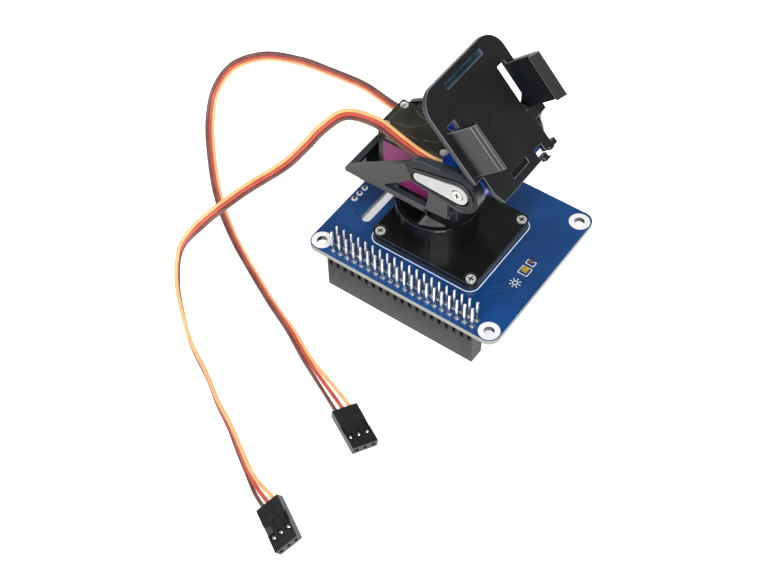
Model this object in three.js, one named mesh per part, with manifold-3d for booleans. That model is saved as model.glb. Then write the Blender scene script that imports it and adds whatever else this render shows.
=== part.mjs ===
// Pan tilt camera mount: an add-on board with a two-servo pan and tilt head.
// Millimetres, +Z up. The origin is the middle of the underside of the board's socket header.
// X runs along the header, Y from the header to the far edge of the board.

import * as THREE from 'three';
import { mergeVertices } from 'three/addons/utils/BufferGeometryUtils.js';
import Module from 'manifold-3d';

const wasm = await Module();
wasm.setup();

// ---------------------------------------------------------------- driving dimensions

const GAP = 0.3;

// circuit board and its socket header
const HEADER_HEIGHT = 13;
const HEADER_HALF_LENGTH = 25.4;
const HEADER_HALF_WIDTH = 2.5;
const PIN_PITCH = 2.54;
const PIN_COLUMNS = 20;
const PIN_SIZE = 0.64;
const PIN_RISE = 8.25;
const BOARD_THICKNESS = 1.6;
const BOARD_UNDERSIDE = HEADER_HEIGHT + GAP;
const BOARD_TOP = BOARD_UNDERSIDE + BOARD_THICKNESS;
const BOARD_WIDTH = 65;
const BOARD_DEPTH = 56.5;
const BOARD_FRONT = -3.5;
const BOARD_CORNER = 3.5;
const MOUNT_HOLE_X = 29;
const MOUNT_HOLE_PITCH_Y = 49;
const MOUNT_HOLE_RADIUS = 1.5;

// head position: the pan axis stands on the middle of the base plate
const HEAD_Y = 24.3;
const PAN_X = -5;
const BASE_WIDTH = 35.8;
const BASE_DEPTH = 31.6;
const BASE_TOP = 3;
const BASE_SCREW_X = 15.75;
const BASE_SCREW_Y = 13.55;
const CUP_RADIUS = 12.2;
const CUP_WALL = 1.1;
const CUP_RIM = 11;
const CUP_FLOOR = 5.6;

// micro servo, along its own axes: l from the shaft towards the far end, w across, h up to the shaft
const SERVO_SHAFT_END = -6.3;
const SERVO_FAR_END = 16.3;
const SERVO_HALF_WIDTH = 6.1;
const SERVO_WALL = 1;
const SERVO_COVER_TOP = 4.3;
const SERVO_EAR_LOW = 15.9;
const SERVO_EAR_HIGH = 18.4;
const SERVO_EAR_LENGTH = 4.5;
const SERVO_CASE_TOP = 20.1;
const SERVO_HUMP_TOP = 26.2;
const SERVO_SCREW_INSET = 1.6;
const PAN_SERVO_TOP = 37;

// yoke, whose two halves meet at HEAD_Y
const YOKE_HALF_WIDTH = 16.5;
const YOKE_WALL = 1.8;
const YOKE_FAR_WALL = 1.6;
const YOKE_BOTTOM = 25;
const YOKE_NECK_X = 8.8;
const NECK_RADIUS = 10.75;
const BOSS_RADIUS = 6.3;

// tilt axis and camera plate, along the plate's own axes: w out of the plate, u across, v up it
const TILT_X = 12.1;
const TILT_Z = 38.4;
const TILT_SERVO_BACK = 38.2;
const REST_TILT = THREE.MathUtils.degToRad(43);
const PLATE_FRONT = 8;
const PLATE_BACK = 6.5;

// servo leads and their plugs
const LEAD_RADIUS = 0.8;
const PLUG_LENGTH = 13.6;
const PLUG_WIDTH = 7.6;
const PLUG_HEIGHT = 2.6;

// ---------------------------------------------------------------- materials

function material(color, roughness, metalness = 0, opacity = 1) {
  return new THREE.MeshStandardMaterial({
    color, roughness, metalness, opacity, transparent: opacity < 1,
  });
}

const BLACK_NYLON = material(0x17181a, 0.5);
const BLUE_MASK = material(0x1f5fae, 0.45);
const DARK_PLASTIC = material(0x222326, 0.45);
const STEEL = material(0xc4c4c0, 0.3, 1);
const BRASS = material(0xb8923e, 0.35, 1);
const SMOKED = material(0x55543f, 0.2, 0, 0.75);
const BLUE_CLEAR = material(0x1740c8, 0.2, 0, 0.75);
const WHITE_PLASTIC = material(0xe8e8e2, 0.4);
const GREEN_BOARD = material(0x1d5a38, 0.5);
const LABEL_MAGENTA = material(0x8c1e69, 0.4);
const SENSOR_AMBER = material(0xc98a2a, 0.3);
const LEAD_RED = material(0xb5301c, 0.5);

// ---------------------------------------------------------------- geometry helpers

const group = new THREE.Group();
group.name = 'pan_tilt_camera_mount';

function toSolid(geometry) {
  const bare = new THREE.BufferGeometry();
  bare.setAttribute('position', geometry.getAttribute('position'));
  bare.setIndex(geometry.getIndex());
  const welded = mergeVertices(bare, 1e-4);
  const triangles = [];
  const index = welded.getIndex().array;
  for (let i = 0; i < index.length; i += 3) {
    const [a, b, c] = [index[i], index[i + 1], index[i + 2]];
    if (a !== b && b !== c && c !== a) triangles.push(a, b, c);
  }
  return new wasm.Manifold(new wasm.Mesh({
    numProp: 3,
    vertProperties: new Float32Array(welded.getAttribute('position').array),
    triVerts: new Uint32Array(triangles),
  }));
}

function join(...solids) {
  return solids.reduce((whole, next) => whole.add(next));
}

function cut(body, ...tools) {
  return tools.reduce((left, tool) => left.subtract(tool), body);
}

function addPiece(name, solid, look, placement = new THREE.Matrix4()) {
  const mesh = solid.getMesh();
  const geometry = new THREE.BufferGeometry();
  geometry.setAttribute('position', new THREE.BufferAttribute(new Float32Array(mesh.vertProperties), 3));
  geometry.setIndex(new THREE.BufferAttribute(new Uint32Array(mesh.triVerts), 1));
  geometry.applyMatrix4(placement);
  geometry.computeVertexNormals();
  const piece = new THREE.Mesh(geometry, look);
  piece.name = name;
  group.add(piece);
}

function block(x0, x1, y0, y1, z0, z1) {
  const box = new THREE.BoxGeometry(x1 - x0, y1 - y0, z1 - z0);
  box.translate((x0 + x1) / 2, (y0 + y1) / 2, (z0 + z1) / 2);
  return toSolid(box);
}

// a straight round bar from one point to another
function rod(radius, from, to, sides = 24, endRadius = radius) {
  const start = new THREE.Vector3(...from);
  const along = new THREE.Vector3(...to).sub(start);
  const bar = new THREE.CylinderGeometry(endRadius, radius, along.length(), sides);
  const turn = new THREE.Quaternion().setFromUnitVectors(
    new THREE.Vector3(0, 1, 0), along.clone().normalize());
  bar.applyQuaternion(turn);
  const middle = start.addScaledVector(along, 0.5);
  bar.translate(middle.x, middle.y, middle.z);
  return toSolid(bar);
}

function extrude(shape, depth, curveSegments) {
  return new THREE.ExtrudeGeometry(shape, { depth, bevelEnabled: false, curveSegments });
}

// a flat outline in X and Y, raised from z0 to z1
function slabZ(shape, z0, z1, curveSegments = 8) {
  return toSolid(extrude(shape, z1 - z0, curveSegments).translate(0, 0, z0));
}

// a flat outline in X and Z, spread from y0 to y1
function slabY(shape, y0, y1, curveSegments = 8) {
  return toSolid(extrude(shape, y1 - y0, curveSegments).rotateX(Math.PI / 2).translate(0, y1, 0));
}

function roundedRectangle(x0, x1, y0, y1, radius) {
  const shape = new THREE.Shape();
  shape.moveTo(x0 + radius, y0);
  shape.lineTo(x1 - radius, y0);
  shape.absarc(x1 - radius, y0 + radius, radius, -Math.PI / 2, 0);
  shape.lineTo(x1, y1 - radius);
  shape.absarc(x1 - radius, y1 - radius, radius, 0, Math.PI / 2);
  shape.lineTo(x0 + radius, y1);
  shape.absarc(x0 + radius, y1 - radius, radius, Math.PI / 2, Math.PI);
  shape.lineTo(x0, y0 + radius);
  shape.absarc(x0 + radius, y0 + radius, radius, Math.PI, Math.PI * 1.5);
  return shape;
}

function polygon(points) {
  return new THREE.Shape(points.map(([x, y]) => new THREE.Vector2(x, y)));
}

// the outline round two circles of different size, as a servo horn has
function taperedBar(x0, y0, r0, x1, y1, r1) {
  const along = Math.atan2(y1 - y0, x1 - x0);
  const lean = Math.acos((r0 - r1) / Math.hypot(x1 - x0, y1 - y0));
  const shape = new THREE.Shape();
  shape.absarc(x0, y0, r0, along + lean, along - lean + 2 * Math.PI);
  shape.absarc(x1, y1, r1, along - lean, along + lean);
  return shape;
}

// height above the top of the circuit board
function above(height) {
  return BOARD_TOP + height;
}

// the two slots of a screwdriver recess in a head that lies flat, centred on x and y
function crossSlots(x, y, z0, z1, reach, half) {
  return [
    block(x - reach, x + reach, y - half, y + half, z0, z1),
    block(x - half, x + half, y - reach, y + reach, z0, z1),
  ];
}

// the same recess in a head that faces along Y, centred on x and z
function crossSlotsY(x, z, y0, y1, reach, half) {
  return [
    block(x - reach, x + reach, y0, y1, z - half, z + half),
    block(x - half, x + half, y0, y1, z - reach, z + reach),
  ];
}

// ---------------------------------------------------------------- circuit board

function pinPlaces() {
  const places = [];
  for (let column = 0; column < PIN_COLUMNS; column += 1) {
    const x = (column - (PIN_COLUMNS - 1) / 2) * PIN_PITCH;
    for (const y of [-PIN_PITCH / 2, PIN_PITCH / 2]) places.push([x, y]);
  }
  return places;
}

function baseScrewPlaces() {
  const places = [];
  for (const y of [HEAD_Y - BASE_SCREW_Y, HEAD_Y + BASE_SCREW_Y]) {
    for (const x of [-BASE_SCREW_X, BASE_SCREW_X]) places.push([x, y]);
  }
  return places;
}

const LIGHT_PIN_X = -30.8;
const LIGHT_PINS_Y = [18.45, 21.05, 23.65];

function buildBoard() {
  const outline = roundedRectangle(-BOARD_WIDTH / 2, BOARD_WIDTH / 2,
    BOARD_FRONT, BOARD_FRONT + BOARD_DEPTH, BOARD_CORNER);
  const low = BOARD_UNDERSIDE - 1;
  const high = BOARD_TOP + 1;
  const holes = [];
  for (const x of [-MOUNT_HOLE_X, MOUNT_HOLE_X]) {
    for (const y of [0, MOUNT_HOLE_PITCH_Y]) {
      holes.push(rod(MOUNT_HOLE_RADIUS, [x, y, low], [x, y, high], 24));
    }
  }
  for (const [x, y] of baseScrewPlaces()) holes.push(rod(1.3, [x, y, low], [x, y, high], 16));
  const side = PIN_SIZE / 2 + GAP;
  const lightPins = LIGHT_PINS_Y.map((y) => [LIGHT_PIN_X, y]);
  for (const [x, y] of [...pinPlaces(), ...lightPins]) {
    holes.push(block(x - side, x + side, y - side, y + side, low, high));
  }
  holes.push(slabZ(roundedRectangle(-24.95, -21.9, 12.9, 29.9, 1.5), low, high, 4));
  addPiece('circuit_board', cut(slabZ(outline, BOARD_UNDERSIDE, BOARD_TOP, 6), ...holes), BLUE_MASK);
}

function buildHeader() {
  const half = PIN_SIZE / 2;
  const socket = 0.45;
  let header = block(-HEADER_HALF_LENGTH, HEADER_HALF_LENGTH,
    -HEADER_HALF_WIDTH, HEADER_HALF_WIDTH, 0, HEADER_HEIGHT);
  for (const [x, y] of pinPlaces()) {
    header = header.subtract(block(x - socket, x + socket, y - socket, y + socket, -1, 6));
    header = header.add(block(x - half, x + half, y - half, y + half, HEADER_HEIGHT - 1, above(PIN_RISE)));
  }
  for (let column = 0; column < PIN_COLUMNS; column += 1) {
    const x = (column - (PIN_COLUMNS - 1) / 2) * PIN_PITCH;
    header = header.subtract(block(x - 0.55, x + 0.55, -3, -1.7, HEADER_HEIGHT - 3.7, HEADER_HEIGHT + 1));
  }
  addPiece('gpio_header', header, DARK_PLASTIC);
}

// right-angle three-pin plug strip under the board, its pins soldered through from below
function buildLightHeader() {
  const low = LIGHT_PINS_Y[0] - 1.3;
  const high = LIGHT_PINS_Y[2] + 1.3;
  const body = block(LIGHT_PIN_X - 1.3, LIGHT_PIN_X + 1.3, low, high,
    BOARD_UNDERSIDE - 2.8, BOARD_UNDERSIDE - GAP);
  const half = PIN_SIZE / 2;
  const pins = LIGHT_PINS_Y.map((y) => block(LIGHT_PIN_X - half, LIGHT_PIN_X + half, y - half, y + half,
    BOARD_UNDERSIDE - 8.8, above(0.7)));
  addPiece('light_header', join(body, ...pins), DARK_PLASTIC);
}

function buildServoHeader(name, x) {
  const y = 47;
  const base = BOARD_UNDERSIDE - GAP;
  const body = block(x - 3.8, x + 3.8, y - 1.3, y + 1.3, base - 2.5, base);
  const pins = [-PIN_PITCH, 0, PIN_PITCH].map((offset) => block(
    x + offset - PIN_SIZE / 2, x + offset + PIN_SIZE / 2, y, y + 7.5, base - 1.6, base - 1.6 + PIN_SIZE));
  addPiece(name, join(body, ...pins), DARK_PLASTIC);
}

function buildBoardParts() {
  addPiece('light_sensor', block(24.76, 26.76, 22.96, 24.96, above(GAP), above(1)), SENSOR_AMBER);
  addPiece('sensor_capacitor', block(24.84, 26.44, 26.95, 27.75, above(GAP), above(0.9)), STEEL);
  const under = BOARD_UNDERSIDE - GAP;
  addPiece('controller_chip', block(10.5, 17.1, 42.6, 47, under - 1, under), DARK_PLASTIC);
  addPiece('voltage_regulator', block(20, 23, 43.5, 45.2, under - 1.1, under), DARK_PLASTIC);
}

// ---------------------------------------------------------------- base with its cup

function buildBase() {
  const outline = roundedRectangle(-BASE_WIDTH / 2, BASE_WIDTH / 2,
    HEAD_Y - BASE_DEPTH / 2, HEAD_Y + BASE_DEPTH / 2, 2.8);
  const plate = slabZ(outline, above(GAP), above(BASE_TOP), 6);
  const cup = rod(CUP_RADIUS, [PAN_X, HEAD_Y, above(2)], [PAN_X, HEAD_Y, above(CUP_RIM)], 64);
  const hollow = rod(CUP_RADIUS - CUP_WALL,
    [PAN_X, HEAD_Y, above(CUP_FLOOR)], [PAN_X, HEAD_Y, above(12)], 64);
  const hornRecess = join(
    block(PAN_X - 8.1, PAN_X + 8.1, HEAD_Y - 2.4, HEAD_Y + 2.4, above(3.9), above(6)),
    block(PAN_X - 2.4, PAN_X + 2.4, HEAD_Y - 8.1, HEAD_Y + 8.1, above(3.9), above(6)));
  const screwWell = rod(2.7, [PAN_X, HEAD_Y, above(0)], [PAN_X, HEAD_Y, above(4)]);
  const screwHoles = baseScrewPlaces().flatMap(([x, y]) => [
    rod(1.3, [x, y, above(0)], [x, y, above(4)], 16),
    rod(2, [x, y, above(1.7)], [x, y, above(4)], 24),
  ]);
  const padTurn = new THREE.Matrix4().makeTranslation(PAN_X, HEAD_Y, 0)
    .multiply(new THREE.Matrix4().makeRotationZ(THREE.MathUtils.degToRad(-53)));
  const pad = toSolid(new THREE.BoxGeometry(1, 5.4, 8.2)
    .translate(CUP_RADIUS - 0.2, 0, above(6.4)).applyMatrix4(padTurn));
  const body = cut(join(plate, cup, pad), hollow, hornRecess, screwWell, ...screwHoles);
  addPiece('pan_base', body, BLACK_NYLON);
}

function buildBaseFasteners() {
  baseScrewPlaces().forEach(([x, y], i) => {
    const screw = join(
      rod(1.5, [x, y, above(2)], [x, y, above(2.95)], 24),
      rod(1, [x, y, above(-BOARD_THICKNESS - 2.6)], [x, y, above(2.1)], 12));
    const recess = crossSlots(x, y, above(2.45), above(4), 0.95, 0.2);
    addPiece(`base_screw_${i + 1}`, cut(screw, ...recess), STEEL);
    const top = BOARD_UNDERSIDE - GAP;
    const nutHole = rod(1.25, [x, y, top - 3], [x, y, top + 1], 12);
    const nut = cut(rod(2.3, [x, y, top - 1.6], [x, y, top], 6), nutHole);
    addPiece(`base_nut_${i + 1}`, nut, STEEL);
  });
}

// cross horn in the floor of the cup, with the screw that holds the pan shaft in it
function buildPanHorn() {
  const low = above(4.2);
  const arms = join(
    block(PAN_X - 7.8, PAN_X + 7.8, HEAD_Y - 2, HEAD_Y + 2, low, low + 1.3),
    block(PAN_X - 2, PAN_X + 2, HEAD_Y - 7.8, HEAD_Y + 7.8, low, low + 1.3));
  const hub = rod(3.3, [PAN_X, HEAD_Y, low], [PAN_X, HEAD_Y, above(9.5)], 32);
  const bore = rod(2.4, [PAN_X, HEAD_Y, above(6.2)], [PAN_X, HEAD_Y, above(10)], 24);
  const screwHole = rod(0.95, [PAN_X, HEAD_Y, above(4)], [PAN_X, HEAD_Y, above(7)], 12);
  addPiece('pan_horn', cut(join(arms, hub), bore, screwHole), WHITE_PLASTIC);
  addPiece('pan_horn_screw', join(
    rod(2.1, [PAN_X, HEAD_Y, above(2.9)], [PAN_X, HEAD_Y, above(3.9)], 20),
    rod(0.62, [PAN_X, HEAD_Y, above(3.8)], [PAN_X, HEAD_Y, above(8.6)], 10)), STEEL);
}

// ---------------------------------------------------------------- micro servo

// places a servo's own axes in the mount: l along `long`, h along `shaft`, h = 0 at `back`
function servoPlacement(back, long, shaft) {
  const l = new THREE.Vector3(...long);
  const h = new THREE.Vector3(...shaft);
  const w = new THREE.Vector3().crossVectors(h, l);
  return new THREE.Matrix4().makeBasis(l, w, h).setPosition(...back);
}

function servoBox(h0, h1, inset = 0) {
  return block(SERVO_SHAFT_END + inset, SERVO_FAR_END - inset,
    -SERVO_HALF_WIDTH + inset, SERVO_HALF_WIDTH - inset, h0, h1);
}

function servoScrewPlaces() {
  const places = [];
  for (const l of [SERVO_SHAFT_END + SERVO_SCREW_INSET, SERVO_FAR_END - SERVO_SCREW_INSET]) {
    for (const w of [-SERVO_HALF_WIDTH + SERVO_SCREW_INSET, SERVO_HALF_WIDTH - SERVO_SCREW_INSET]) {
      places.push([l, w]);
    }
  }
  return places;
}

function servoScrewBores(h0, h1) {
  return servoScrewPlaces().map(([l, w]) => rod(0.95, [l, w, h0], [l, w, h1], 12));
}

const MOTOR_L = 10;
const SHAFT_RADIUS = 2.05;
const SHAFT_BEARING = 2.14;

function buildServo(name, placement, options) {
  const { coverLook, caseLook, gearCaseLook, earLow, earHigh, shaftTip } = options;

  const leadNotch = block(SERVO_SHAFT_END - 1, SERVO_SHAFT_END + 2, -2.2, 2.2, 1.5, SERVO_COVER_TOP + 1);
  const headSeats = servoScrewPlaces().map(([l, w]) => rod(1.55, [l, w, -1], [l, w, 0.8], 16));
  const coverHollow = servoBox(1.4, SERVO_COVER_TOP + 1, SERVO_WALL);
  addPiece(`${name}_servo_cover`, cut(servoBox(0, SERVO_COVER_TOP), coverHollow,
    leadNotch, ...headSeats, ...servoScrewBores(-1, 3)), coverLook, placement);

  const ears = block(SERVO_SHAFT_END - earLow, SERVO_FAR_END + earHigh,
    -SERVO_HALF_WIDTH, SERVO_HALF_WIDTH, SERVO_EAR_LOW, SERVO_EAR_HIGH);
  const earHoles = [SERVO_SHAFT_END - 2.4, SERVO_FAR_END + 2.4]
    .map((l) => rod(1.1, [l, 0, SERVO_EAR_LOW - 1], [l, 0, SERVO_EAR_HIGH + 1], 16));
  const body = join(servoBox(SERVO_COVER_TOP + GAP, SERVO_EAR_HIGH), ears);
  const shaftHoles = join(
    rod(1.6, [0, 0, 16], [0, 0, 20], 16),
    rod(1.1, [MOTOR_L, 0, 16], [MOTOR_L, 0, 20], 12));
  addPiece(`${name}_servo_case`, cut(body, servoBox(SERVO_COVER_TOP - 1, 17.2, SERVO_WALL),
    ...earHoles, ...servoScrewBores(16, 20), shaftHoles), caseLook, placement);

  const gearFloor = SERVO_EAR_HIGH + GAP;
  const gearCase = join(servoBox(gearFloor, SERVO_CASE_TOP),
    rod(5.9, [0, 0, SERVO_CASE_TOP - 1], [0, 0, SERVO_HUMP_TOP], 36),
    rod(2.9, [7.2, 0, SERVO_CASE_TOP - 1], [7.2, 0, SERVO_HUMP_TOP], 24));
  addPiece(`${name}_servo_gear_case`, cut(gearCase,
    rod(4.9, [0, 0, gearFloor - 1], [0, 0, 25.4], 28),
    rod(4, [8.5, 0, gearFloor - 1], [8.5, 0, 19.5], 24),
    rod(SHAFT_BEARING, [0, 0, 25], [0, 0, SERVO_HUMP_TOP + 1], 24),
    ...servoScrewBores(gearFloor - 1, 19.6)), gearCaseLook, placement);

  servoScrewPlaces().forEach(([l, w], i) => {
    const screw = join(rod(1.25, [l, w, 0], [l, w, 0.5], 16), rod(0.6, [l, w, 0.4], [l, w, 19.3], 8));
    const recess = crossSlots(l, w, -1, 0.3, 0.7, 0.16);
    addPiece(`${name}_servo_screw_${i + 1}`, cut(screw, ...recess), STEEL, placement);
  });

  addPiece(`${name}_servo_motor`, join(
    rod(4.6, [MOTOR_L, 0, 5], [MOTOR_L, 0, 16.9], 24),
    rod(0.5, [MOTOR_L, 0, 16], [MOTOR_L, 0, 19.2], 10),
    rod(1.3, [MOTOR_L, 0, 18.9], [MOTOR_L, 0, 19.3], 12)), STEEL, placement);
  addPiece(`${name}_servo_potentiometer`, join(
    rod(4.3, [0, 0, 6], [0, 0, 12.8], 20),
    rod(1.2, [0, 0, 12], [0, 0, 18.6], 12)), DARK_PLASTIC, placement);
  addPiece(`${name}_servo_control_board`, block(-3.4, 13.8, -4.6, 4.6, 2.1, 3.1), GREEN_BOARD, placement);
  addPiece(`${name}_output_gear`, cut(join(
    rod(4.4, [0, 0, 19], [0, 0, 21.4], 24),
    rod(SHAFT_RADIUS, [0, 0, 21], [0, 0, shaftTip], 24)),
  rod(0.95, [0, 0, shaftTip - 3], [0, 0, shaftTip + 1], 12)), BRASS, placement);
}

const PAN_SERVO = servoPlacement([PAN_X, HEAD_Y, above(PAN_SERVO_TOP)], [-1, 0, 0], [0, 0, -1]);

function buildPanServo() {
  buildServo('pan', PAN_SERVO, {
    coverLook: SMOKED, caseLook: DARK_PLASTIC, gearCaseLook: SMOKED,
    earLow: SERVO_EAR_LENGTH, earHigh: SERVO_EAR_LENGTH, shaftTip: 30.2,
  });
  const side = -SERVO_HALF_WIDTH - 0.05;
  addPiece('pan_servo_label', block(-0.7, 14.4, side - 0.12, side, 5, 19.8), LABEL_MAGENTA, PAN_SERVO);
}

// ---------------------------------------------------------------- yoke

// side view of a yoke wall: a wedge that rises to the round boss of the tilt axis
function yokeProfile() {
  const meet = Math.asin((TILT_X - YOKE_NECK_X) / BOSS_RADIUS);
  const shape = new THREE.Shape();
  shape.moveTo(-24.2, above(YOKE_BOTTOM));
  shape.lineTo(0.5, above(YOKE_BOTTOM));
  shape.lineTo(1.4, above(YOKE_BOTTOM + 1.1));
  shape.lineTo(YOKE_NECK_X, above(YOKE_BOTTOM + 1.7));
  shape.absarc(TILT_X, above(TILT_Z), BOSS_RADIUS, -Math.PI / 2 - meet, Math.PI / 2, false);
  shape.lineTo(6, above(44.5));
  shape.lineTo(-0.2, above(43.9));
  shape.lineTo(-2.6, above(42.9));
  shape.lineTo(-4.8, above(40.3));
  shape.lineTo(-25.3, above(26.6));
  return shape;
}

function yokeWindow() {
  return polygon([
    [-11.6, above(26.9)], [1.9, above(26.9)], [2.6, above(30.5)],
    [2.6, above(33.6)], [-3, above(34.7)], [-11.9, above(27.7)],
  ]);
}

// one half of the frame that joins the walls: end wall, ear clamp, floor, cheek and the neck in the cup
function yokeFrame(y0, y1, wallY0, wallY1) {
  const outerY0 = Math.min(y0, wallY0);
  const outerY1 = Math.max(y1, wallY1);
  const between = (x0, x1, low, high, z0, z1) => (
    block(x0, x1, Math.max(y0, low), Math.min(y1, high), above(z0), above(z1)));

  const endWall = block(-25.3, -23.5, outerY0, outerY1, above(YOKE_BOTTOM), above(26.5));
  const endPlate = between(-25.3, -23.5, 15.2, 33.4, 14.6, 26.5);
  const clamp = between(-26.2, -21.5, 15.2, 33.4, 14.6, 22);
  const floor = between(2, YOKE_NECK_X, 9.2, 39.6, YOKE_BOTTOM, 26.9);
  const web = between(3.6, YOKE_NECK_X, 13, 35.6, 21, YOKE_BOTTOM + 0.2);
  const cheek = between(-3.8, 6.6, 17, 31.6, CUP_RIM + GAP, 26.6);

  const turned = rod(NECK_RADIUS, [PAN_X, HEAD_Y, above(8.2)], [PAN_X, HEAD_Y, above(17.4)], 48);
  const neck = turned.intersect(between(3.6, 20, 0, 60, 8, 18));
  const ledge = turned.intersect(between(-3.1, 20, 0, 60, 8, CUP_RIM));
  const riser = turned.intersect(between(-3.1, 20, 17, 31.6, 10, CUP_RIM + 1));
  return cut(join(endWall, endPlate, clamp, floor, web, cheek, neck, ledge, riser), ...servoPocket());
}

// the room that the pan servo, its ears and its gear case take
function servoPocket() {
  const side = SERVO_HALF_WIDTH + GAP;
  const caseLow = PAN_SERVO_TOP - SERVO_CASE_TOP - GAP;
  return [
    block(PAN_X - SERVO_FAR_END - GAP, PAN_X - SERVO_SHAFT_END + GAP, HEAD_Y - side, HEAD_Y + side,
      above(caseLow), above(40)),
    block(-30, 10, HEAD_Y - side, HEAD_Y + side,
      above(PAN_SERVO_TOP - SERVO_EAR_HIGH - GAP), above(PAN_SERVO_TOP - SERVO_EAR_LOW + GAP)),
    rod(6.4, [PAN_X, HEAD_Y, above(5)], [PAN_X, HEAD_Y, above(caseLow + 0.5)], 32),
    block(PAN_X - 12, PAN_X, HEAD_Y - side, HEAD_Y + side, above(5), above(caseLow + 0.5)),
  ];
}

const YOKE_SCREWS = [
  { x: -23.6, z: 16.2, head: 33.6, tip: 17.5 },
  { x: 7.2, z: 23, head: 31, tip: 17 },
];

function buildYoke() {
  const near = HEAD_Y - YOKE_HALF_WIDTH;
  const far = HEAD_Y + YOKE_HALF_WIDTH;
  const window = (y0, y1) => slabY(yokeWindow(), y0, y1);

  const nearWall = cut(slabY(yokeProfile(), near, near + YOKE_WALL, 12), window(near - 1, near + 3));
  const hornHousing = slabY(taperedBar(TILT_X, above(TILT_Z), BOSS_RADIUS, -1.4, above(38.6), 3.1),
    near, near + 3.6, 12);
  const hornRecess = slabY(taperedBar(TILT_X, above(TILT_Z), 3.9, -0.4, above(37.5), 2),
    near - 1, near + 2.1, 10);
  const recessRim = slabY(taperedBar(TILT_X, above(TILT_Z), 4.8, -0.4, above(37.5), 2.8),
    near - 0.4, near + 0.5, 10);
  const hubHole = rod(3.7, [TILT_X, near, above(TILT_Z)], [TILT_X, near + 5, above(TILT_Z)], 28);
  const nearFrame = yokeFrame(near + 0.2, HEAD_Y - GAP / 2, near, near + 1);
  const nearHalf = join(nearWall, hornHousing, recessRim, nearFrame);
  const screwHoles = YOKE_SCREWS.flatMap(({ x, z, head, tip }) => [
    rod(0.95, [x, tip - 1, above(z)], [x, head + 1, above(z)], 12),
    rod(1.7, [x, head - 0.3, above(z)], [x, far + 1, above(z)], 16),
  ]);
  addPiece('yoke_left',
    cut(nearHalf, hornRecess, hubHole, window(near - 1, near + 3), ...screwHoles), BLACK_NYLON);

  const farWall = cut(slabY(yokeProfile(), far - YOKE_FAR_WALL, far, 12), window(far - 3, far + 1));
  const farHalf = join(farWall, yokeFrame(HEAD_Y + GAP / 2, far - 0.2, far - 1, far));
  const pivotHole = rod(1.5, [TILT_X, far - 3, above(TILT_Z)], [TILT_X, far + 1, above(TILT_Z)], 32);
  addPiece('yoke_right', cut(farHalf, pivotHole, ...screwHoles), BLACK_NYLON);
}

function buildYokeScrews() {
  YOKE_SCREWS.forEach(({ x, z, head, tip }, i) => {
    const screw = join(
      rod(1.4, [x, head, above(z)], [x, head + 1.2, above(z)], 16),
      rod(0.62, [x, tip, above(z)], [x, head + 0.2, above(z)], 8));
    const recess = crossSlotsY(x, above(z), head + 0.7, head + 2, 0.8, 0.18);
    addPiece(`yoke_screw_${i + 1}`, cut(screw, ...recess), STEEL);
  });
}

// ---------------------------------------------------------------- tilt drive in the yoke

function buildTiltHorn() {
  const face = HEAD_Y - YOKE_HALF_WIDTH - 0.2;
  const arm = slabY(taperedBar(TILT_X, above(TILT_Z), 3.1, -0.4, above(37.55), 1.6), face, face + 2, 8);
  const hub = rod(3.3, [TILT_X, face + 1.6, above(TILT_Z)], [TILT_X, face + 4, above(TILT_Z)], 32);
  const bore = rod(2.4, [TILT_X, face + 2.3, above(TILT_Z)], [TILT_X, face + 4.6, above(TILT_Z)], 24);
  const headSeat = rod(1.8, [TILT_X, face - 1, above(TILT_Z)], [TILT_X, face + 1.4, above(TILT_Z)], 20);
  const screwHole = rod(0.95, [TILT_X, face - 1, above(TILT_Z)], [TILT_X, face + 3, above(TILT_Z)], 12);
  const bumps = [[2.1, 37.75], [5.35, 37.95]].map(([x, z]) => (
    rod(0.45, [x, face - 0.15, above(z)], [x, face + 0.3, above(z)], 12)));
  addPiece('tilt_horn', cut(join(arm, hub, ...bumps), bore, headSeat, screwHole), WHITE_PLASTIC);
  const screw = join(
    rod(1.5, [TILT_X, face - 0.3, above(TILT_Z)], [TILT_X, face + 1.1, above(TILT_Z)], 24),
    rod(0.62, [TILT_X, face + 1, above(TILT_Z)], [TILT_X, face + 4.6, above(TILT_Z)], 10));
  const recess = crossSlotsY(TILT_X, above(TILT_Z), face - 1, face + 0.2, 0.95, 0.18);
  addPiece('tilt_horn_screw', cut(screw, ...recess), STEEL);
}

// ---------------------------------------------------------------- tilting head

// the plate's axes in the mount: x out of the plate (w), y across it (u), z up it (v)
const PLATE_FRAME = new THREE.Matrix4()
  .makeRotationY(-REST_TILT)
  .setPosition(TILT_X, HEAD_Y, above(TILT_Z));

// a flat outline in u and v, spread from w0 to w1
function slabW(shape, w0, w1, curveSegments = 8) {
  const geometry = extrude(shape, w1 - w0, curveSegments);
  const axes = new THREE.Matrix4().makeBasis(
    new THREE.Vector3(0, 1, 0), new THREE.Vector3(0, 0, 1), new THREE.Vector3(1, 0, 0));
  return toSolid(geometry.applyMatrix4(axes).translate(w0, 0, 0));
}

const PLATE_LEFT = -15.8;
const PLATE_RIGHT = 18.9;
const PLATE_MIDDLE = (PLATE_LEFT + PLATE_RIGHT) / 2;
const PLATE_TOP = 28.5;
const PLATE_STEP = 1.2;
const TAB_OUTER = 15.6;
const TAB_INNER = 14.1;

function plateOutline() {
  const radius = 6.4;
  const shape = new THREE.Shape();
  shape.moveTo(-11.2, -8.2);
  shape.lineTo(13.8, -8.2);
  shape.lineTo(13.8, PLATE_STEP);
  shape.lineTo(PLATE_RIGHT, PLATE_STEP);
  shape.absarc(PLATE_RIGHT - radius, PLATE_TOP - radius, radius, 0, Math.PI / 2);
  shape.absarc(PLATE_LEFT + radius, PLATE_TOP - radius, radius, Math.PI / 2, Math.PI);
  shape.lineTo(PLATE_LEFT, PLATE_STEP);
  shape.lineTo(-12.4, PLATE_STEP);
  shape.lineTo(-12.4, -4.6);
  return shape;
}

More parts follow.
